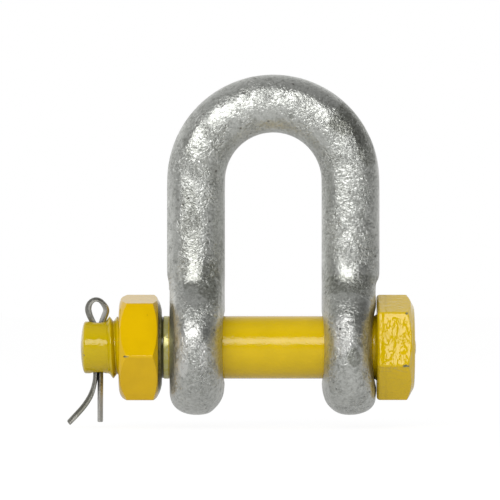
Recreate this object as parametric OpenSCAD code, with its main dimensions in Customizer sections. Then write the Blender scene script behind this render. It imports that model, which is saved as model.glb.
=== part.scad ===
// Bolt-type dee shackle: a forged bow-topped body, a hex bolt across its two eyes, a hex nut
// and a split pin through the end of the bolt. Millimetres.
// The origin is on the bolt's axis, midway between the eyes. +X runs to the bolt's head,
// +Z up the legs to the bow.

/* [Body] */
// Diameter of the round bar that the body is forged from
bar_d = 19; // [16:0.5:26]
// Clear width between the two eyes
jaw_w = 31.5; // [24:0.5:44]
// Clear length from the bolt to the inside of the bow
inside_len = 59.95; // [40:0.05:90]
// Diameter of each eye, seen along the bolt
eye_d = 44.2; // [36:0.2:60]
// Thickness of each eye, along the bolt
eye_w = 17.85; // [12:0.05:24]
// Rounding of each eye's rim
eye_round = 8; // [3:0.5:8.5]
// Radius that the eye's inner face is curved to, about the vertical
eye_in_curve = 75; // [50:5:150]
// Radius that the eye's outer face is curved to, about the vertical
eye_out_curve = 45; // [35:1:100]
// Diameter of the flat seat cut for the bolt's head
seat_d = 37.4; // [30:0.2:44]
// Height above the bolt at which the eye has become the round leg
neck_z = 25; // [22:0.5:34]

/* [Bolt] */
// Diameter of the plain shank
shank_d = 20.5; // [14:0.1:24]
// How far the shank stands out of the eye on the nut's side
shank_out = 2.3; // [0.5:0.1:5]
// Width across the flats of the hexagon head
head_af = 30.5; // [24:0.5:36]
// Height of the head
head_h = 12.4; // [8:0.1:16]
// Upward tilt of the head's front flat
head_turn = 10; // [0:1:59]
// Diameter of the round end face that the head's chamfer leaves
head_face_d = 26.5; // [20:0.5:30]
// Diameter of the small raised spot in the middle of the head
spot_d = 4; // [2:0.5:8]
// Height of the spot
spot_h = 0.5; // [0.2:0.1:1]
// Thread diameter over its crests
thread_d = 20.2; // [14:0.1:24]
// Thread diameter at its roots
root_d = 17.4; // [12:0.1:21]
// Thread pitch
pitch = 2.5; // [1.5:0.1:3]
// Length of thread that stands out of the nut
thread_out = 3.5; // [1:0.1:8]
// Diameter of the plain end beyond the thread
end_d = 17; // [11:0.1:19]
// Length of the plain end, up to its chamfer
end_l = 7.6; // [5:0.1:12]
// Length of the chamfered and domed tip
tip_l = 1.5; // [0.5:0.1:3]

/* [Nut] */
// Width across the flats of the nut
nut_af = 32; // [24:0.5:36]
// Height of the nut
nut_h = 14.2; // [10:0.1:18]
// Upward tilt of the nut's front flat
nut_turn = 21.6; // [0:0.1:59]
// Diameter of the round faces that the nut's chamfers leave
nut_face_d = 27; // [22:0.5:32]
// Slope of the hexagons' chamfers: millimetres of radius for each millimetre along the bolt
chamfer_slope = 1.6; // [1:0.1:2.5]

/* [Split pin] */
// Diameter of the hole for the split pin
hole_d = 5.4; // [3:0.1:7]
// Distance of the hole's centre from the end of the thread
hole_in = 3.5; // [3:0.1:6]
// Radius of the half-round wire
wire_r = 1.9; // [1:0.05:2.4]
// Inside radius of the loop
loop_r = 2.15; // [1.5:0.05:4]
// Height of the loop's centre above the bolt's axis
loop_z = 12.45; // [11:0.05:16]
// Lean of the wire on each side, from the hole up to the loop
loop_lean = 25; // [10:1:40]
// Radius of the small bend in the mouth of the hole
mouth_r = 2.5; // [2:0.1:4]
// Depth that the straight leg reaches below the axis
leg_z = 24.3; // [16:0.1:30]
// Depth at which the other leg starts to bend
bend_z = 12.3; // [10:0.1:16]
// Angle of the first, tight bend of that leg
bend_a = 36; // [10:1:60]
// Radius of the first bend
bend_r = 8; // [5:0.5:15]
// Angle that the leg has reached at the end of its second, wide bend
spread_a = 43; // [20:1:75]
// Radius of the second bend
spread_r = 60; // [30:5:120]
// Straight length at the tip of the bent leg
bent_tip = 4; // [1:0.1:8]

/* [Clearances] */
// Gap around the shank in each eye
shank_gap = 0.1; // [0.02:0.01:0.6]
// Gap around the thread's crests in the nut
thread_gap = 0.05; // [0.02:0.01:0.2]
// Gap between the head and the eye
head_gap = 0.1; // [0.05:0.05:1]
// Gap between the nut and the end of the shank
nut_gap = 0.2; // [0.05:0.05:1]
// Gap between the split pin's two legs
leg_gap = 0.1; // [0.02:0.02:0.6]

/* [Hidden] */
$fn = 96;
bar_r = bar_d / 2;
bow_r = jaw_w / 2 + bar_r;                      // centreline of the bow and of the legs
bow_z = shank_d / 2 + inside_len - jaw_w / 2;   // centre of the bow
eye_x = jaw_w / 2 + eye_w / 2;                  // middle of an eye
eye_out = jaw_w / 2 + eye_w;                    // outer face of an eye
head_x = eye_out + head_gap;                    // bearing face of the head
shank_x = -(eye_out + shank_out);               // shoulder at the end of the shank
nut_x = shank_x - nut_gap;                      // bearing face of the nut
thread_x = nut_x - nut_h - thread_out;          // end of the thread
rings = floor((shank_x - thread_x - 0.4) / pitch);
hole_x = thread_x - hole_in;                    // centre of the split pin's hole
end_x = thread_x - end_l;                       // end of the plain end
mouth_z = loop_z - loop_r * sin(loop_lean)      // height at which the legs start to part
          - lean_l() * cos(loop_lean) - mouth_r * sin(loop_lean);

// Length of the leaning straight between the bend in the mouth and the loop.
function lean_l() = (loop_r * cos(loop_lean) - leg_gap / 2 - mouth_r * (1 - cos(loop_lean)))
                    / sin(loop_lean);

// Everything round about the bolt is drawn along Z and laid down along X here.
module along_x() { rotate([0, 90, 0]) children(); }

// The bow, half a ring.
module bow() {
  translate([0, 0, bow_z]) rotate([90, 0, 0])
    rotate_extrude(angle = 180) translate([bow_r, 0]) circle(bar_r);
}

// One eye without its bore: a disc with a rounded rim and two slightly curved faces, drawn
// together with the start of the leg above it.
module eye_blank() {
  hull($fn = 32) {
    intersection() {
      translate([eye_x, 0, 0]) along_x() rotate_extrude($fn = 56) rim_profile();
      translate([jaw_w / 2 + eye_in_curve, 0, -eye_d])
        cylinder(h = 2 * eye_d, r = eye_in_curve, $fn = 144);
      translate([eye_out - eye_out_curve, 0, -eye_d])
        cylinder(h = 2 * eye_d, r = eye_out_curve, $fn = 96);
    }
    translate([bow_r, 0, neck_z]) cylinder(h = 1, r = bar_r - 0.05, $fn = 48);
  }
}

module rim_profile() {
  intersection() {
    translate([0, -eye_w / 2]) square([eye_d / 2, eye_w]);
    hull() {
      for (s = [-1, 1]) translate([eye_d / 2 - eye_round, s * (eye_w / 2 - eye_round)])
        circle(eye_round);
      translate([0, -eye_w / 2]) square([1, eye_w]);
    }
  }
}

module shackle_body() color([0.62, 0.63, 0.62]) {
  difference() {
    union() {
      bow();
      for (s = [0, 1]) mirror([s, 0, 0]) {
        translate([bow_r, 0, neck_z + 0.5]) cylinder(h = bow_z - neck_z - 0.5, r = bar_r);
        eye_blank();
      }
    }
    translate([-eye_out - 5, 0, 0]) along_x()
      cylinder(h = 2 * eye_out + 10, r = shank_d / 2 + shank_gap);
    translate([eye_out, 0, 0]) along_x() cylinder(h = 5, d = seat_d);
  }
}

// A hexagon along X with chamfers that leave round faces: one at its outer end, or at both.
module hexagon(af, h, face_d, both) {
  corner_r = af / 2 / cos(30);
  cham = (corner_r - face_d / 2) / chamfer_slope;
  intersection() {
    cylinder(h = h, r = corner_r, $fn = 6);
    rotate_extrude() polygon([
      [0, 0], [both ? face_d / 2 : corner_r + 1, 0], [corner_r + 1, both ? cham + 1 / chamfer_slope : 0.01],
      [corner_r + 1, h - cham - 1 / chamfer_slope], [face_d / 2, h], [0, h]]);
  }
}

// The bolt's turned outline: distance along the bolt from the head, and radius. The thread is
// drawn as rings.
function thread_ring(x) = [
  [x, root_d / 2], [x - 0.13 * pitch, root_d / 2],
  [x - 0.49 * pitch, thread_d / 2], [x - 0.64 * pitch, thread_d / 2]];

function turned() = concat(
  [[head_x + 1, 0], [head_x + 1, shank_d / 2], [shank_x + 0.7, shank_d / 2],
   [shank_x, shank_d / 2 - 0.7], [shank_x, root_d / 2]],
  [for (k = [rings:-1:1]) each thread_ring(thread_x + k * pitch)],
  [[thread_x, end_d / 2], [end_x, end_d / 2], [end_x - 0.4 * tip_l, 0.85 * end_d / 2],
   [end_x - 0.85 * tip_l, 0.4 * end_d / 2], [end_x - tip_l, 0]]);

module bolt() color([0.85, 0.70, 0.02]) {
  difference() {
    union() {
      rotate([0, 90, 0]) rotate_extrude() polygon([for (p = turned()) [p[1], p[0]]]);
      translate([head_x, 0, 0]) rotate([-head_turn, 0, 0]) along_x()
        hexagon(head_af, head_h, head_face_d, false);
      translate([head_x + head_h - 1, 0, 0]) along_x() cylinder(h = 1 + spot_h, d = spot_d);
    }
    translate([hole_x, 0, -shank_d]) cylinder(h = 2 * shank_d, d = hole_d);
  }
}

module nut() color([0.87, 0.71, 0.02]) {
  translate([nut_x - nut_h, 0, 0]) rotate([-nut_turn, 0, 0]) along_x()
    difference() {
      hexagon(nut_af, nut_h, nut_face_d, true);
      translate([0, 0, -1]) cylinder(h = nut_h + 2, r = thread_d / 2 + thread_gap);
    }
}

// The split pin's wire is half-round and follows a path in the XZ plane that starts at the tip of
// the bent leg. Each station is [x, z, nx, nz]: a point on the wire's flat side and the direction
// of its round side. side = 1 turns the round side away from a bend's centre, -1 towards it.
function stations(c, r, a0, a1, side, n) = [
  for (i = [0:n]) let(a = a0 + (a1 - a0) * i / n)
    [c[0] + r * cos(a), c[1] + r * sin(a), side * cos(a), side * sin(a)]];

function wire_path() = let(
  g = leg_gap / 2,
  out = [-g - bend_r * (1 - cos(bend_a)), -bend_z - bend_r * sin(bend_a)],
  wide = [out[0] - spread_r * cos(bend_a), out[1] + spread_r * sin(bend_a)],
  far = [wide[0] + spread_r * cos(spread_a), wide[1] - spread_r * sin(spread_a)],
  tip = [far[0] - bent_tip * sin(spread_a), far[1] - bent_tip * cos(spread_a)])
  concat(
    [[tip[0], tip[1], -cos(spread_a), sin(spread_a)]],
    stations(wide, spread_r, -spread_a, -bend_a, -1, 4),
    stations([-g - bend_r, -bend_z], bend_r, -bend_a, 0, -1, 9),
    stations([-g - mouth_r, mouth_z], mouth_r, 0, loop_lean, -1, 5),
    stations([0, loop_z], loop_r, 180 + loop_lean, -loop_lean, 1, 32),
    stations([g + mouth_r, mouth_z], mouth_r, 180 - loop_lean, 180, -1, 5),
    [[g, -leg_z, 1, 0]]);

module split_pin() color([0.52, 0.52, 0.50]) {
  path = wire_path();
  k = 13;          // points round each section
  last = len(path) - 1;
  translate([hole_x, 0, 0]) polyhedron(
    points = [for (s = path, j = [0:k - 1]) let(t = 180 * j / (k - 1) - 90)
      [s[0] + s[2] * wire_r * cos(t), wire_r * sin(t), s[1] + s[3] * wire_r * cos(t)]],
    faces = concat(
      [for (i = [0:last - 1], j = [0:k - 1]) let(m = (j + 1) % k)
        [i * k + j, i * k + m, (i + 1) * k + m, (i + 1) * k + j]],
      [[for (j = [k - 1:-1:0]) j], [for (j = [0:k - 1]) last * k + j]]));
}

shackle_body();
bolt();
nut();
split_pin();
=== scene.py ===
import math
import bpy
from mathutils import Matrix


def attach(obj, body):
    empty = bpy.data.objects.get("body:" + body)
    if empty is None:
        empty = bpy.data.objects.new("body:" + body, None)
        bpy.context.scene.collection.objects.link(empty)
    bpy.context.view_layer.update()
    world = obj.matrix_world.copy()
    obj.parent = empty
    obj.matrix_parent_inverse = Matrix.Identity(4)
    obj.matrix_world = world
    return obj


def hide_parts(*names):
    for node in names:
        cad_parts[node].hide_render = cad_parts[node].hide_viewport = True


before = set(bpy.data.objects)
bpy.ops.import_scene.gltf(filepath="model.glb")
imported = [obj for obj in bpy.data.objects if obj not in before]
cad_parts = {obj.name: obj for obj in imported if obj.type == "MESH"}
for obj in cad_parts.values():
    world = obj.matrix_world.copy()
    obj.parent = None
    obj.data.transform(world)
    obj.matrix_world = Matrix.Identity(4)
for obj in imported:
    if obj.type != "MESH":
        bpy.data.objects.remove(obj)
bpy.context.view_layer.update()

MM = 0.001

# ---------------------------------------------------------------- the forged body
# One forging of 19 mm round bar: a half-round bow, two legs and two eyes pressed to an oval
# section. The eyes are drilled for the bolt and each has a flat seat cut on its outer face.
# The whole is hot-dip galvanised after that.
BAR_R = 9.5 * MM
LEG_X = 25.25 * MM
BOW_Z = 54.45 * MM
NEAR = 0.01 * MM


def clear():
    """Nothing is left selected, so that an operator acts only on what comes next."""
    if bpy.context.object and bpy.context.object.mode == "EDIT":
        bpy.ops.object.mode_set(mode="OBJECT")
    bpy.ops.object.select_all(action="DESELECT")


def take(piece, wanted):
    """Edit mode on a piece, with the vertices selected for which wanted(place) holds."""
    clear()
    bpy.context.view_layer.objects.active = piece
    piece.select_set(True)
    bpy.ops.object.mode_set(mode="EDIT")
    bpy.ops.mesh.select_mode(type="VERT")
    bpy.ops.mesh.select_all(action="DESELECT")
    bpy.ops.object.mode_set(mode="OBJECT")
    for v in piece.data.vertices:
        v.select = bool(wanted(v.co))
    bpy.ops.object.mode_set(mode="EDIT")


def draw_down(rings):
    """The open ring that is selected is drawn down through ring after ring, each one
    (height, middle, half width, half depth) in millimetres."""
    z, middle, wide, deep = rings[0]
    for ring in rings[1:]:
        bpy.ops.mesh.extrude_region_move(TRANSFORM_OT_translate={
            "value": ((ring[1] - middle) * MM, 0, (ring[0] - z) * MM)})
        bpy.ops.transform.resize(value=(ring[2] / wide, ring[3] / deep, 1),
                                 center_override=(ring[1] * MM, 0, ring[0] * MM))
        z, middle, wide, deep = ring


def fill_out(piece, ring):
    """The ring that was drawn last gets fuller towards its front and back, a little more with
    each band, first on its half nearer -X, then on the other. It is left selected."""
    z, middle, wide, deep = ring
    fuller = 1.022

    def on_ring(p):
        return abs(p.z - z * MM) < NEAR and abs(p.x - middle * MM) < 1.2 * wide * MM

    for band in (0.40, 0.62, 0.78, 0.90):
        for half in (-1, 1):
            take(piece, lambda p: on_ring(p) and abs(p.y) > band * deep * MM
                 and (p.x - middle * MM) * half > 0)
            bpy.ops.transform.resize(value=(fuller, 1, 1), center_override=(middle * MM, 0, z * MM))
    take(piece, on_ring)


def draw_eye(piece, leg, eye):
    """A leg and the eye at its end, drawn down from the open ring that is selected and closed
    below. The first three rings of the eye, at its neck, are filled out."""
    draw_down(leg)
    rings = leg[-1:] + eye
    for first in range(3):
        draw_down(rings[first:first + 2])
        fill_out(piece, rings[first + 1])
    draw_down(rings[3:])
    bpy.ops.mesh.edge_face_add()
    bpy.ops.mesh.poke()


def apply_modifier(piece, kind, **settings):
    """A modifier is put on a piece, set up and applied at once."""
    clear()
    bpy.context.view_layer.objects.active = piece
    piece.select_set(True)
    made = piece.modifiers.new(kind.title(), kind)
    for name, value in settings.items():
        setattr(made, name, value)
    bpy.ops.object.modifier_apply(modifier=made.name)


def turned(name, outline, steps=96):
    """A closed turned shape about the X axis. outline is (distance along X, radius) in
    millimetres, drawn point by point and spun right round."""
    clear()
    bpy.ops.mesh.primitive_plane_add(size=MM, location=(0, 0, 0))
    piece = bpy.context.object
    piece.name = name
    bpy.ops.object.mode_set(mode="EDIT")
    bpy.ops.mesh.select_mode(type="VERT")
    bpy.ops.mesh.select_all(action="SELECT")
    bpy.ops.mesh.merge(type="CENTER")
    bpy.ops.transform.translate(value=(outline[0][0] * MM, 0, outline[0][1] * MM))
    x, r = outline[0]
    for nx, nr in outline[1:]:
        bpy.ops.mesh.extrude_region_move(TRANSFORM_OT_translate={
            "value": ((nx - x) * MM, 0, (nr - r) * MM)})
        x, r = nx, nr
    bpy.ops.mesh.select_all(action="SELECT")
    bpy.ops.mesh.spin(steps=steps, angle=2 * math.pi, center=(0, 0, 0), axis=(1, 0, 0))
    bpy.ops.mesh.select_all(action="SELECT")
    bpy.ops.mesh.remove_doubles(threshold=0.002 * MM)
    bpy.ops.mesh.normals_make_consistent(inside=False)
    bpy.ops.object.mode_set(mode="OBJECT")
    return piece


def cut(piece, tool, operation="DIFFERENCE"):
    """piece is cut by tool, which is then thrown away."""
    apply_modifier(piece, "BOOLEAN", object=tool, operation=operation, solver="EXACT")
    bpy.data.objects.remove(tool)


clear()
bpy.ops.mesh.primitive_circle_add(vertices=48, radius=BAR_R, location=(-LEG_X, 0, BOW_Z))
forged_body = bpy.context.object
forged_body.name = "forged_body"
bpy.ops.object.transform_apply()
bpy.ops.object.mode_set(mode="EDIT")
bpy.ops.mesh.select_all(action="SELECT")
bpy.ops.mesh.spin(steps=32, angle=math.pi, center=(0, 0, BOW_Z), axis=(0, -1, 0))

# The leg and eye on the head's side, from the bow down. The leg ends in a small step outside,
# where the dies that press the eye have stopped.
LEG = [
    (54.45, 25.25, 9.5, 9.5), (46, 25.25, 9.5, 9.5), (38, 25.25, 9.5, 9.5), (31, 25.25, 9.5, 9.55),
    (27.5, 25.25, 9.5, 9.8), (25, 25.25, 9.5, 10.15), (23.2, 25.2, 9.45, 10.5),
    (22.2, 25.05, 9.3, 10.75)]
HEAD_SIDE = [
    (21.4, 24.8, 9.0, 11.0), (20.3, 24.65, 8.85, 11.6), (18.3, 24.6, 8.85, 13.25),
    (16.2, 24.65, 8.9, 15.6), (14, 24.7, 8.95, 17.2), (11.5, 24.6, 8.85, 18.8),
    (8.5, 24.45, 8.7, 20.3), (5.5, 24.35, 8.6, 21.4), (2.5, 24.3, 8.55, 21.95),
    (-0.5, 24.3, 8.55, 22.1), (-3.5, 24.35, 8.6, 21.8), (-6.5, 24.45, 8.7, 21.1),
    (-9.5, 24.6, 8.85, 19.95), (-12, 24.75, 8.95, 18.55), (-14.2, 24.85, 8.85, 16.9),
    (-16.2, 25.0, 8.5, 15.0), (-17.9, 25.25, 8.1, 12.95), (-19.4, 25.4, 7.1, 10.6),
    (-20.6, 25.4, 5.75, 8.0), (-21.4, 25.2, 4.2, 5.5), (-21.9, 25.0, 2.5, 3.0),
    (-22.05, 25.0, 1.0, 1.1)]
draw_eye(forged_body, LEG, HEAD_SIDE)

# The leg and eye on the nut's side.
NUT_SIDE = [
    (21.4, -25.0, 9.2, 11.0), (20.3, -24.95, 9.15, 11.6), (18.3, -24.95, 9.15, 13.25),
    (16.2, -25.0, 9.2, 15.6), (14, -25.1, 9.3, 17.2), (11.5, -25.15, 9.4, 18.8),
    (8.5, -25.2, 9.45, 20.3), (5.5, -25.2, 9.45, 21.4), (2.5, -25.2, 9.45, 21.95),
    (-0.5, -25.2, 9.45, 22.1), (-3.5, -25.2, 9.45, 21.8), (-6.5, -25.2, 9.45, 21.1),
    (-9.5, -25.1, 9.3, 19.95), (-12, -25.0, 9.15, 18.55), (-14.2, -25.0, 9.0, 16.9),
    (-16.2, -25.1, 8.65, 15.0), (-17.9, -25.3, 8.0, 12.95), (-19.4, -25.4, 6.9, 10.6),
    (-20.6, -25.35, 5.6, 8.0), (-21.4, -25.0, 4.3, 5.5), (-21.9, -25.0, 2.6, 3.0),
    (-22.05, -25.0, 1.0, 1.1)]
take(forged_body, lambda p: p.x < 0 and abs(p.z - BOW_Z) < NEAR)
draw_eye(forged_body, [(z, -middle, wide, deep) for z, middle, wide, deep in LEG], NUT_SIDE)
bpy.ops.mesh.select_all(action="SELECT")
bpy.ops.mesh.normals_make_consistent(inside=False)

# The dies leave the bar a little flat in front and behind, more so higher up.
FLAT_Y = 8.1 * MM
for side in (-1, 1):
    for low, high, flat in ((30, 36, 0.82), (36, 42, 0.7), (42, 100, 0.62)):
        take(forged_body, lambda p: low < p.z / MM < high and p.y * side > FLAT_Y)
        bpy.ops.transform.resize(value=(1, flat, 1), center_override=(0, FLAT_Y * side, 0))
apply_modifier(forged_body, "SUBSURF", levels=1, render_levels=1)

# The drill for both eyes, wider at each mouth, and the cutters for the two flat seats. These
# and all the outlines below are in millimetres.
BORE_R = 10.35
cut(forged_body, turned("drill", [
    (-40, 0), (-40, 11.6), (-34.2, 10.9), (-33, BORE_R), (-18, BORE_R), (-15.6, 12.0),
    (15.6, 12.0), (18, BORE_R), (31.2, BORE_R), (33.8, 13.6), (40, 13.6), (40, 0)]))
cut(forged_body, turned("head_seat", [(33.58, 0), (33.58, 18.9), (40, 18.8), (40, 0)]))
cut(forged_body, turned("nut_seat", [(-33.8, 0), (-33.8, 18.9), (-40, 18.8), (-40, 0)]))
bpy.ops.object.shade_smooth_by_angle(angle=math.radians(35))


class Tint:
    """A value on its way through a finish: an output socket, with arithmetic on it."""

    def __init__(self, tree, socket=None):
        self.tree, self.socket = tree, socket

    def node(self, kind, settings=None, inputs=None, out=0):
        """A new node: its settings are set first, then a value or a Tint for each input."""
        made = self.tree.nodes.new(kind)
        for name, value in (settings or {}).items():
            setattr(made, name, value)
        for name, value in (inputs or {}).items():
            if isinstance(value, Tint):
                self.tree.links.new(value.socket, made.inputs[name])
            else:
                made.inputs[name].default_value = value
        return Tint(self.tree, made.outputs[out] if made.outputs else None)

    def maths(self, operation, *terms):
        """A Math node on its terms, each a number or a Tint."""
        return self.node("ShaderNodeMath", {"operation": operation}, dict(enumerate(terms)))

    def __add__(self, other):
        return self.maths("ADD", self, other)

    def __radd__(self, other):
        return self.maths("ADD", other, self)

    def __sub__(self, other):
        return self.maths("SUBTRACT", self, other)

    def __rsub__(self, other):
        return self.maths("SUBTRACT", other, self)

    def __mul__(self, other):
        return self.maths("MULTIPLY", self, other)

    def between(self, low, high):
        """0 below low, 1 above high, smooth in between."""
        return self.node("ShaderNodeMapRange", {"interpolation_type": "SMOOTHSTEP"},
                         {0: self, 1: low, 2: high})

    def noise(self, scale, detail, rough, distortion=0.0):
        """Noise at scale per metre, read at these coordinates."""
        return self.node("ShaderNodeTexNoise", inputs={
            "Vector": self, "Scale": scale, "Detail": detail, "Roughness": rough,
            "Distortion": distortion})

    def axis(self, out):
        """One axis of these coordinates: 0, 1 or 2 for X, Y or Z."""
        return self.node("ShaderNodeSeparateXYZ", inputs={0: self}, out=out)

    def stretched(self, x, y, z):
        """These coordinates, scaled along each axis."""
        return self.node("ShaderNodeVectorMath", {"operation": "MULTIPLY"}, {0: self, 1: (x, y, z)})

    def fleck(self, centre, size, ragged):
        """1 inside a blob at centre with half sizes size, all in millimetres, 0 outside it. Its
        edge is made uneven by ragged, a noise."""
        off = self.node("ShaderNodeVectorMath", {"operation": "SUBTRACT"},
                        {0: self, 1: tuple(c * MM for c in centre)})
        off = off.stretched(*(1 / (half * MM) for half in size))
        far = off.node("ShaderNodeVectorMath", {"operation": "LENGTH"}, {0: off}, out=1)
        return 1 - (far + (ragged - 0.5) * 2.0).between(0.85, 1.1)

    def mix(self, first, second):
        """first where this is 0, second where it is 1; both are colours."""
        return self.node("ShaderNodeMix", {"data_type": "RGBA"},
                         {0: self, 6: first, 7: second}, out=2)


def finish(name):
    """A new, empty material, and its Object coordinates."""
    material = bpy.data.materials.new(name)
    material.use_nodes = True
    material.node_tree.nodes.clear()
    start = Tint(material.node_tree)
    return material, start.node("ShaderNodeTexCoord", out=3)


def coat_with(piece, material, shader):
    """The shader ends the material, which becomes the piece's only one."""
    shader.node("ShaderNodeOutputMaterial", inputs={"Surface": shader})
    piece.data.materials.clear()
    piece.data.materials.append(material)


# Hot-dip zinc: a dull grey film over bright metal, with a fine frosty grain, small lumps, dark
# pits, and lighter and darker patches. Some patches have a place of their own: darker ones on the
# bow, legs and necks, partly dull stains and partly painted shade, and lighter ones on the eyes,
# which are painted highlights. The relief is in millimetres.
galvanised, place = finish("hot_dip_zinc")
frost = place.noise(1100, 3, 0.6, 0.5)
grain = place.noise(620, 2, 0.55, 0.8)
lumps = place.noise(240, 2, 0.5, 0.3)
patch = place.noise(70, 4, 0.6)
stain = place.noise(48, 3, 0.6)
specks = place.node("ShaderNodeTexVoronoi", {"feature": "F1"},
                    {"Vector": place, "Scale": 330, "Randomness": 1.0})
pit = (1 - specks.between(0.06, 0.2)) * lumps.between(0.5, 0.6)
zinc = patch.between(0.35, 0.65).mix((0.48, 0.49, 0.46, 1), (0.60, 0.61, 0.575, 1))
stain_and_shade = stain.between(0.52, 0.7) * 0.3
# Placed darker patches on the right shoulder, the necks and the right eye: painted shade, partly over
# dull stains.
for centre, size in (
        ((33, -6, 76), (7, 9, 14)), ((38, -4, 62), (4, 9, 10)), ((-20.5, -11, 20), (4.5, 7, 9)),
        ((26, -20, -3), (2.2, 6, 3.5)), ((26, -8, 20), (9, 8, 5)), ((25, -7, 75.5), (7, 7, 6)),
        ((30.5, -7, 66), (3.5, 7, 9))):
    stain_and_shade = stain_and_shade.maths("MAXIMUM", stain_and_shade, place.fleck(centre, size, patch) * (0.4 + stain * 0.7))
# The left leg's bright band is dimmed here as painted shade.
stain_and_shade = stain_and_shade.maths("MAXIMUM", stain_and_shade, place.fleck((-27, -9, 36), (4.5, 6, 20), patch) * 0.45)
zinc = stain_and_shade.mix(zinc, (0.24, 0.245, 0.205, 1))
# Lighter patches on the eyes, where a brighter base colour makes the highlight longer and brighter:
# painted highlights.
for centre, size, painted_highlight in (
        ((22.5, -20, 5.0), (4.2, 8, 7.0), 0.85), ((-26.5, -20, 4.5), (3.2, 8, 5), 0.6),
        ((-29.5, -20, -1.5), (1.8, 8, 7), 0.7), ((-22.5, -20, -2.5), (1.3, 8, 4), 0.7)):
    zinc = (place.fleck(centre, size, patch) * painted_highlight).mix(zinc, (0.82, 0.82, 0.79, 1))
zinc = (frost.between(0.42, 0.68) * 0.6).mix(zinc, (0.74, 0.75, 0.72, 1))
zinc = ((1 - frost.between(0.28, 0.46)) * 0.5).mix(zinc, (0.26, 0.265, 0.24, 1))
zinc = ((1 - grain.between(0.3, 0.46)) * 0.45).mix(zinc, (0.22, 0.225, 0.20, 1))
zinc = (pit * 0.8).mix(zinc, (0.06, 0.05, 0.035, 1))
coarse = place.noise(110, 2, 0.5).between(0.4, 0.65)
relief = ((frost - 0.5) * (0.2 + coarse * 0.6) + (grain - 0.5) * (0.1 + coarse * 0.2)
          + lumps * 0.32 - pit * 0.1)
bump = relief.node("ShaderNodeBump", inputs={"Strength": 1.0, "Distance": MM, "Height": relief})
rough = 0.22 + patch * 0.08 + frost * 0.06
coat_with(forged_body, galvanised, zinc.node("ShaderNodeBsdfPrincipled", inputs={
    "Base Color": zinc, "Metallic": 0.9, "Roughness": rough, "Normal": bump}))
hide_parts("shackle_body")
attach(forged_body, "body")

# ---------------------------------------------------------------- the bolt
# A forged and turned steel bolt: hexagon head, plain shank through both eyes, a rolled M20
# thread for the nut and a thinner plain end with a cross hole. Painted yellow before assembly.
HEAD_X = 33.7
HEAD_H = 12.4
SHANK_R = 10.25
CORE_R = 8.7
END_R = 8.5
PITCH = 2.5
HOLE_X = -57.3
HOLE_R = 2.7


def hexagon(name, across, height, at, tilt, outline, bearing=None):
    """A hexagon bar about X with one flat tilted up by tilt degrees at the front, its ends
    turned to outline. The edges round its bearing face, where that is given, are rolled over,
    and the long edges are rounded before the ends are turned."""
    clear()
    bpy.ops.mesh.primitive_cylinder_add(
        vertices=6, radius=across / 2 / math.cos(math.pi / 6) * MM, depth=height * MM,
        location=((at + height / 2) * MM, 0, 0), rotation=(0, math.pi / 2, 0))
    piece = bpy.context.object
    piece.name = name
    bpy.ops.object.transform_apply()
    bpy.ops.object.mode_set(mode="EDIT")
    bpy.ops.mesh.select_all(action="SELECT")
    bpy.ops.transform.rotate(value=math.radians(30 + tilt), orient_axis="X", center_override=(0, 0, 0))
    bpy.ops.object.mode_set(mode="OBJECT")
    if bearing is not None:
        take(piece, lambda p: abs(p.x - bearing * MM) < NEAR)
        bpy.ops.mesh.bevel(offset=1.0 * MM, segments=5)
    bpy.ops.object.mode_set(mode="EDIT")
    bpy.ops.mesh.select_mode(type="EDGE")
    bpy.ops.mesh.select_all(action="DESELECT")
    bpy.ops.object.mode_set(mode="OBJECT")
    for edge in piece.data.edges:
        first, second = (piece.data.vertices[i].co for i in edge.vertices)
        edge.select = abs(first.x - second.x) > NEAR / 10
    bpy.ops.object.mode_set(mode="EDIT")
    bpy.ops.mesh.bevel(offset=0.5 * MM, segments=4)
    bpy.ops.mesh.select_mode(type="VERT")
    bpy.ops.object.mode_set(mode="OBJECT")
    cut(piece, turned(name + "_outline", outline, 144), "INTERSECT")
    apply_modifier(piece, "BEVEL", width=0.45 * MM, segments=3, limit_method="ANGLE",
                   angle_limit=math.radians(20), harden_normals=False)
    bpy.ops.object.shade_smooth_by_angle(angle=math.radians(50))
    apply_modifier(piece, "WEIGHTED_NORMAL", keep_sharp=True, weight=100)
    return piece


bolt_head = hexagon("bolt_head", 30.5, HEAD_H, HEAD_X, 11, [
    (HEAD_X - 1, 0), (HEAD_X - 1, 18.2), (HEAD_X + 9.5, 18.2), (HEAD_X + 11.9, 13.8),
    (HEAD_X + 12.15, 13.3), (HEAD_X + 12.3, 12.6), (HEAD_X + 12.3, 0)], bearing=HEAD_X)

# The small raised spot that the header leaves in the middle of the head.
head_spot = turned("head_spot", [
    (HEAD_X + 11.9, 0), (HEAD_X + 11.9, 3.0), (HEAD_X + 12.4, 2.6), (HEAD_X + 12.7, 2.3),
    (HEAD_X + 12.85, 1.6), (HEAD_X + 12.88, 0)], 48)

# The shank with a fillet under the head, the core of the thread and the plain end.
bolt_shank = turned("bolt_shank", [
    (HEAD_X + 0.5, 0), (HEAD_X + 0.5, 11.0), (HEAD_X - 0.1, 10.8), (HEAD_X - 0.5, 10.4),
    (HEAD_X - 1.1, SHANK_R), (-35.6, SHANK_R), (-35.8, 10.05), (-36.9, 10.0), (-36.9, CORE_R),
    (-53.6, CORE_R), (-53.9, END_R), (-61.3, END_R), (-61.75, 8.2), (-62.1, 7.4), (-62.4, 5.9),
    (-62.7, 3.8), (-62.85, 1.8), (-62.9, 0)], 128)

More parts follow.
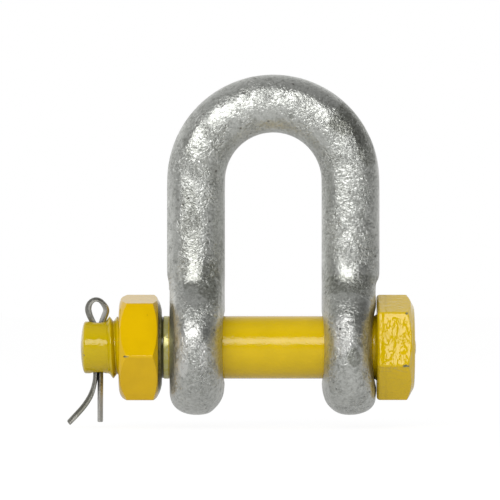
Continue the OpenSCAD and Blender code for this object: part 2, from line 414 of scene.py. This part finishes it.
# The thread is one continuous ridge, wound round the core with the pitch as its rise.
clear()
bpy.ops.mesh.primitive_plane_add(size=MM, location=(0, 0, 0))
bolt_thread = bpy.context.object
bolt_thread.name = "bolt_thread"
bpy.ops.object.mode_set(mode="EDIT")
bpy.ops.mesh.select_mode(type="VERT")
bpy.ops.mesh.select_all(action="SELECT")
bpy.ops.mesh.merge(type="CENTER")
bpy.ops.transform.translate(value=(-54.65 * MM, 0, 8.45 * MM))
for dx, dr in ((0.05, 0.25), (0.88, 1.25), (0.17, 0.15), (0.17, 0.0), (0.17, -0.15),
               (0.88, -1.25), (0.05, -0.25)):
    bpy.ops.mesh.extrude_region_move(TRANSFORM_OT_translate={"value": (dx * MM, 0, dr * MM)})
bpy.ops.object.mode_set(mode="OBJECT")
apply_modifier(bolt_thread, "SCREW", axis="X", angle=2 * math.pi, screw_offset=PITCH * MM,
               iterations=6, steps=72, render_steps=72, use_merge_vertices=False,
               use_normal_calculate=True)


def yellow_coat(name, dark, light, shine, wrinkles, shade_from, bare_from, bare_to, bare_steel, chips):
    """Glossy yellow paint over steel, greener on the bolt's end beyond the nut. wrinkles(place)
    is the paint's relief in millimetres. Along X the colour is near-black from the first place
    given, as painted shade in the gap next to the eye; from bare_from the steel is bare and from
    bare_to on it is painted again. Each chip in the paint is (centre, half sizes)."""
    paint, place = finish(name)
    tone = place.noise(90, 3, 0.6)
    fine = place.noise(900, 2, 0.6)
    dirt = place.noise(420, 3, 0.65)
    along = place.axis(0)

    def beyond(x):
        return along.between((x - 0.08) * MM, (x + 0.08) * MM)

    # The near-black stretch is painted shade in the gap between the nut and the eye.
    gap_shade = beyond(shade_from) * (1 - beyond(bare_from))
    bare = beyond(bare_from) * (1 - beyond(bare_to))
    chipped = place.fleck(*chips[0], fine)
    for centre, size in chips[1:]:
        chipped = chipped.maths("MAXIMUM", chipped, place.fleck(centre, size, fine))
    bare = bare.maths("MAXIMUM", bare, chipped)
    yellow = tone.between(0.3, 0.7).mix(dark, light)
    end = 1 - along.between(-51.3 * MM, -50.7 * MM)
    yellow = (end * 0.65).mix(yellow, (0.42, 0.325, 0.0, 1))
    yellow = (dirt.between(0.7, 0.78) * 0.4).mix(yellow, (0.25, 0.15, 0.0, 1))
    steel = chipped.mix(bare_steel, (0.10, 0.09, 0.03, 1))
    steel = (fine.between(0.35, 0.65) * 0.5).mix(steel, (0.60, 0.57, 0.36, 1))
    colour = (gap_shade * 0.95).mix(bare.mix(yellow, steel), (0.02, 0.025, 0.005, 1))
    bump = place.node("ShaderNodeBump", inputs={
        "Strength": 1.0, "Distance": MM, "Height": wrinkles(place) - bare * 0.12})
    coat = place.node("ShaderNodeBsdfPrincipled", inputs={
        "Base Color": colour, "Metallic": bare * 0.5, "Roughness": 0.06 + bare * 0.24,
        "Specular IOR Level": shine, "Normal": bump})
    coat.node("ShaderNodeOutputMaterial", inputs={"Surface": coat})
    return paint


def bolt_wrinkles(place):
    """Fine orange peel all over. The head was forged: its flats are wavy under the paint, and a
    shallow hollow runs along behind their bearing edge."""
    along = place.axis(0)
    on_head = along.between(33.9 * MM, 34.5 * MM) * (1 - along.between(44.6 * MM, 45.4 * MM))
    height = place.axis(2)
    front = height.between(-9 * MM, -6 * MM) * (1 - height.between(8.5 * MM, 10.5 * MM))
    waves = place.stretched(1, 1, 0.5).noise(560, 1.5, 0.5, 0.6) - 0.5
    off = along * 1000 - (HEAD_X + 2.4)
    hollow = off.maths("ABSOLUTE", off).between(0.0, 1.1)
    return (place.noise(1300, 2, 0.5) * (0.1 - on_head * 0.085)
            + on_head * (waves * (0.2 + front * 0.6) + hollow * 0.2))


bolt_paint = yellow_coat(
    "bolt_paint", dark=(0.56, 0.382, 0.0, 1), light=(0.61, 0.412, 0.0, 1), shine=0.45,
    wrinkles=bolt_wrinkles, shade_from=-37.4, bare_from=-35.75, bare_to=-34.1,
    bare_steel=(0.50, 0.46, 0.12, 1), chips=[
        ((42.9, -16.6, -5.8), (1.2, 1.6, 0.4)), ((43.3, -13.4, 11.4), (0.4, 1.6, 0.5)),
        # The last chip, round the lower mouth of the split pin's hole, is partly dark bare steel at
        # the burr and partly painted shade in the hole's mouth.
        ((-61.6, -7.6, -2.4), (0.3, 1, 0.3)), ((HOLE_X, 0, -END_R), (3.0, 3.0, 0.75))])
for piece in (bolt_shank, bolt_head, bolt_thread, head_spot):
    piece.data.materials.clear()
    piece.data.materials.append(bolt_paint)
clear()
bolt_shank.select_set(True)
bpy.context.view_layer.objects.active = bolt_shank
bpy.ops.object.shade_smooth_by_angle(angle=math.radians(30))

# The hole for the split pin.
clear()
bpy.ops.mesh.primitive_cylinder_add(vertices=48, radius=HOLE_R * MM, depth=30 * MM,
                                    location=(HOLE_X * MM, 0, 0))
drill = bpy.context.object
bpy.ops.object.transform_apply()
cut(bolt_shank, drill)

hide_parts("bolt")
for piece in (bolt_shank, bolt_head, bolt_thread, head_spot):
    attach(piece, "bolt")

# ---------------------------------------------------------------- the nut
# A forged hexagon nut on the bolt's thread, chamfered at both ends and rounder at the outer
# one. It is painted yellow like the bolt, and the end next to the eye is bare steel, coloured
# near-black at its edge and dark over the rest as painted shade.
NUT_X = -50.4
NUT_H = 13.95
NUT_END = NUT_X + NUT_H
NUT_BORE_R = 10.15
hex_nut = hexagon("hex_nut", 32, NUT_H, NUT_X, 21.4, [
    (NUT_X, 10.6), (NUT_X, 13.4), (NUT_X + 0.1, 14.3), (NUT_X + 0.3, 15.1), (NUT_X + 0.6, 15.8),
    (NUT_X + 1.1, 16.5), (NUT_X + 1.7, 17.2), (NUT_X + 2.4, 18.0), (NUT_X + 2.8, 18.6),
    (NUT_END - 2.8, 18.6), (NUT_END - 1.5, 16.3), (NUT_END - 0.8, 15.0), (NUT_END - 0.3, 13.6),
    (NUT_END, 12.4), (NUT_END, 10.8), (NUT_END - 0.6, NUT_BORE_R),
    (NUT_X + 0.6, NUT_BORE_R), (NUT_X, 10.6)])


def nut_wrinkles(place):
    """Fine orange peel, and a few soft sags where the paint ran."""
    return place.noise(700, 2, 0.5) * 0.02 + place.noise(260, 1, 0.4) * 0.05


nut_paint = yellow_coat(
    "nut_paint", dark=(0.58, 0.363, 0.0, 1), light=(0.63, 0.395, 0.0, 1), shine=0.35,
    wrinkles=nut_wrinkles, shade_from=-37.45, bare_from=-37.25, bare_to=-30,
    # The bare end's steel is given a dark colour as painted shade, as that end faces into the gap by
    # the eye.
    bare_steel=(0.10, 0.09, 0.03, 1), chips=[
        ((-48.0, -18.3, -2.75), (1.3, 1.2, 0.35)), ((-50.2, -15.3, 5.9), (0.35, 0.7, 0.3)),
        ((-50.2, -14.3, -7.6), (0.3, 0.6, 0.6))])
hex_nut.data.materials.clear()
hex_nut.data.materials.append(nut_paint)
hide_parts("nut")
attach(hex_nut, "nut")

# ---------------------------------------------------------------- the split pin
# A steel wire of half-round section, folded over its flat side into a loop with two legs,
# pushed down through the hole in the bolt's end. The leg away from the nut is bent aside.

# The middle of the flat side: (distance from the hole's centre along X, height above the
# bolt's axis, thickness of the wire, twist), in millimetres and degrees, up the straight leg,
# round the loop and down the bent leg.
WIRE = [
    (0.15, -24.4, 1.5, 10), (0.15, -24.25, 1.55, 10), (0.15, -20, 1.55, 10), (0.18, -14, 1.55, 11),
    (0.3, -8, 1.5, 13), (0.25, 0, 1.4, 16), (0.35, 6.6, 1.4, 20), (0.75, 7.6, 1.4, 22),
    (1.1, 8.5, 1.4, 23), (1.6, 9.8, 1.35, 24), (2.15, 11.1, 1.35, 24), (2.45, 12.0, 1.35, 24),
    (2.33, 12.75, 1.3, 22), (1.8, 13.55, 1.25, 18), (1.15, 14.3, 1.3, 12), (0.3, 14.9, 1.35, 4),
    (-0.5, 15.1, 1.4, 0), (-1.25, 14.9, 1.5, -2), (-1.9, 14.25, 1.7, 0), (-2.3, 13.35, 1.85, 3),
    (-2.42, 12.5, 1.9, 5), (-2.25, 11.5, 1.85, 5), (-1.8, 10.3, 1.8, 3), (-1.25, 9.2, 1.75, 2),
    (-0.75, 8.2, 1.65, 2), (-0.3, 6.9, 1.6, 5), (-0.05, 0, 1.6, 8), (-0.05, -7.5, 1.5, 8),
    (-0.2, -9.6, 1.35, 6), (-0.4, -11.2, 1.35, 4), (-0.68, -12.7, 1.4, 0), (-1.05, -14.2, 1.5, -4),
    (-1.6, -15.7, 1.55, -7), (-2.42, -17.2, 1.55, -9), (-3.4, -18.75, 1.55, -9),
    (-4.65, -20.35, 1.55, -9), (-6.1, -21.95, 1.55, -9), (-7.6, -23.55, 1.55, -9),
    (-8.95, -24.9, 1.5, -9), (-9.35, -25.2, 1.35, -9)]
WIRE_HALF_W = 1.85


def half_round_wire(name, path, half_w, hole):
    """A half-round wire swept along path, each ring square to the way the path runs there. Its
    last end is closed, its first still open."""
    def heading(i):
        a, b = path[max(i - 1, 0)], path[min(i + 1, len(path) - 1)]
        return math.atan2(b[1] - a[1], b[0] - a[0])

    clear()
    bpy.ops.mesh.primitive_circle_add(vertices=28, radius=half_w * MM, location=(0, 0, 0))
    wire = bpy.context.object
    wire.name = name
    take(wire, lambda p: p.x < 0)
    bpy.ops.transform.resize(value=(0.1, 1, 1), center_override=(0, 0, 0))
    bpy.ops.mesh.select_all(action="SELECT")
    bpy.ops.transform.resize(value=(path[0][2] / half_w, 1, 1), center_override=(0, 0, 0))
    bpy.ops.transform.translate(value=((hole + path[0][0]) * MM, 0, path[0][1] * MM))
    facing, thick, twist = math.pi / 2, path[0][2], 0.0
    for i, (x, z, t, turn) in enumerate(path):
        place = ((hole + x) * MM, 0, z * MM)
        if i:
            bpy.ops.mesh.extrude_region_move(TRANSFORM_OT_translate={
                "value": ((x - path[i - 1][0]) * MM, 0, (z - path[i - 1][1]) * MM)})
        # Laid flat again, made thicker or thinner, twisted and turned along the path.
        bpy.ops.transform.rotate(value=math.pi / 2 - facing, orient_axis="Y", center_override=place)
        bpy.ops.transform.rotate(value=math.radians(twist), orient_axis="Z", center_override=place)
        bpy.ops.transform.resize(value=(t / thick, 1, 1), center_override=place)
        bpy.ops.transform.rotate(value=-math.radians(turn), orient_axis="Z", center_override=place)
        facing, thick, twist = heading(i), t, turn
        bpy.ops.transform.rotate(value=facing - math.pi / 2, orient_axis="Y", center_override=place)
    bpy.ops.mesh.edge_face_add()
    bpy.ops.object.mode_set(mode="OBJECT")
    return wire


split_wire = half_round_wire("split_wire", WIRE, WIRE_HALF_W, HOLE_X)
# The straight leg's end is closed too.
take(split_wire, lambda p: abs(p.z - WIRE[0][1] * MM) < 0.1 * MM and p.x > (HOLE_X - 1) * MM)
bpy.ops.mesh.edge_face_add()
bpy.ops.mesh.select_all(action="SELECT")
bpy.ops.mesh.normals_make_consistent(inside=False)
apply_modifier(split_wire, "SUBSURF", levels=1, render_levels=1)
bpy.ops.object.shade_smooth_by_angle(angle=math.radians(40))
pin_steel, place = finish("pin_steel")
grain = place.noise(1500, 3, 0.6)
streak = place.stretched(1, 1, 0.25).noise(900, 2, 0.6)
steel = (grain.between(0.3, 0.7) * 0.6 + streak.between(0.4, 0.7) * 0.4).mix(
    (0.24, 0.235, 0.205, 1), (0.42, 0.415, 0.38, 1))
# The bent leg is made darker here as painted shade.
bent_leg_shade = place.fleck((HOLE_X - 4.6, 0, -18), (4.2, 4, 8.5), grain)
steel = (bent_leg_shade * 0.55).mix(steel, (0.15, 0.145, 0.11, 1))
# Lighter patches on the straight leg and the loop: painted highlights.
for centre, size in (((HOLE_X + 1.1, 0, -20), (2.2, 3, 9)), ((HOLE_X + 2.8, 0, 11.2), (2.6, 3, 4))):
    painted_sheen = place.fleck(centre, size, grain)
    steel = (painted_sheen * (0.5 + streak * 0.5)).mix(steel, (0.66, 0.65, 0.61, 1))
bump = place.node("ShaderNodeBump", inputs={
    "Strength": 1.0, "Distance": MM, "Height": grain * 0.05 + streak * 0.04})
coat_with(split_wire, pin_steel, steel.node("ShaderNodeBsdfPrincipled", inputs={
    "Base Color": steel, "Metallic": 1.0, "Roughness": 0.46 + grain * 0.08, "Normal": bump}))
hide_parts("split_pin")
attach(split_wire, "split_pin")

# ---------------------------------------------------------------- the studio
# A pale floor under the shackle, white all round, one large soft lamp in front of it, to the
# left and above. The camera looks straight at it from the front.
FLOOR_Z = -26.2 * MM
MIDDLE_Z = 30 * MM
clear()
bpy.ops.mesh.primitive_plane_add(size=6, location=(0, 0, FLOOR_Z))
floor = bpy.context.object
floor.name = "floor"
pale, place = finish("pale_floor")
seen = place.node("ShaderNodeLightPath")
camera_ray = Tint(seen.tree, seen.socket.node.outputs["Is Camera Ray"])
glossy_ray = Tint(seen.tree, seen.socket.node.outputs["Is Glossy Ray"])
matt = place.node("ShaderNodeBsdfDiffuse", inputs={"Color": (0.93, 0.93, 0.93, 1)})
white = place.node("ShaderNodeEmission", inputs={
    "Color": (1, 1, 1, 1), "Strength": 0.6 + camera_ray * 0.45})
coat_with(floor, pale, place.node("ShaderNodeMixShader", inputs={
    0: camera_ray * 0.85 + glossy_ray, 1: matt, 2: white}))

# The room: even light on what is matt, and lighter and darker walls in what is glossy.
world = bpy.data.worlds.new("white_room")
bpy.context.scene.world = world
world.use_nodes = True
world.node_tree.nodes.clear()
sky = Tint(world.node_tree)
way = sky.node("ShaderNodeTexCoord", out=0)
across = way.node("ShaderNodeSeparateXYZ", inputs={0: way}, out=0)
ahead = Tint(sky.tree, across.socket.node.outputs[1])
above = Tint(sky.tree, across.socket.node.outputs[2])
rays = sky.node("ShaderNodeLightPath")
glossy = Tint(sky.tree, rays.socket.node.outputs["Is Glossy Ray"])
behind = ahead.between(-0.3, 0.2)
sides = ((0 - across).between(0.35, 0.9) * 0.62 + across.between(0.7, 0.98) * 0.15) * behind
mirrored = ahead.between(0.3, 0.92) * 0.9 + sides + above.between(0.6, 1.0) * 0.26 + 0.04
strength = rays.maths("MAXIMUM", rays, glossy * mirrored + (1 - glossy) * 0.72)
light = way.node("ShaderNodeBackground", inputs={"Color": (1, 1, 1, 1), "Strength": strength})
light.node("ShaderNodeOutputWorld", inputs={"Surface": light})


# The soft lamp, aimed at the middle of the shackle.
LAMP_TURN = math.radians(-16)
LAMP_TILT = math.radians(23)
LAMP_AWAY = 1.2
level = LAMP_AWAY * math.cos(LAMP_TILT)
clear()
bpy.ops.object.light_add(
    type="AREA", rotation=(math.radians(90) - LAMP_TILT, 0, LAMP_TURN),
    location=(level * math.sin(LAMP_TURN), -level * math.cos(LAMP_TURN),
              LAMP_AWAY * math.sin(LAMP_TILT) + MIDDLE_Z))
key_lamp = bpy.context.object
key_lamp.name = "key_lamp"
key_lamp.data.shape = "RECTANGLE"
key_lamp.data.size = 1.3
key_lamp.data.size_y = 0.45
key_lamp.data.energy = 8.8

CAMERA_PLACE = (-7.6 * MM, -1.8, 31.8 * MM)
bpy.ops.object.camera_add(location=CAMERA_PLACE, rotation=(math.radians(90), 0, 0))
camera = bpy.context.object
camera.data.lens = 396.6
camera.data.sensor_width = 36
camera.data.clip_start = 0.01
bpy.context.scene.camera = camera
bpy.context.scene.view_settings.view_transform = "Standard"
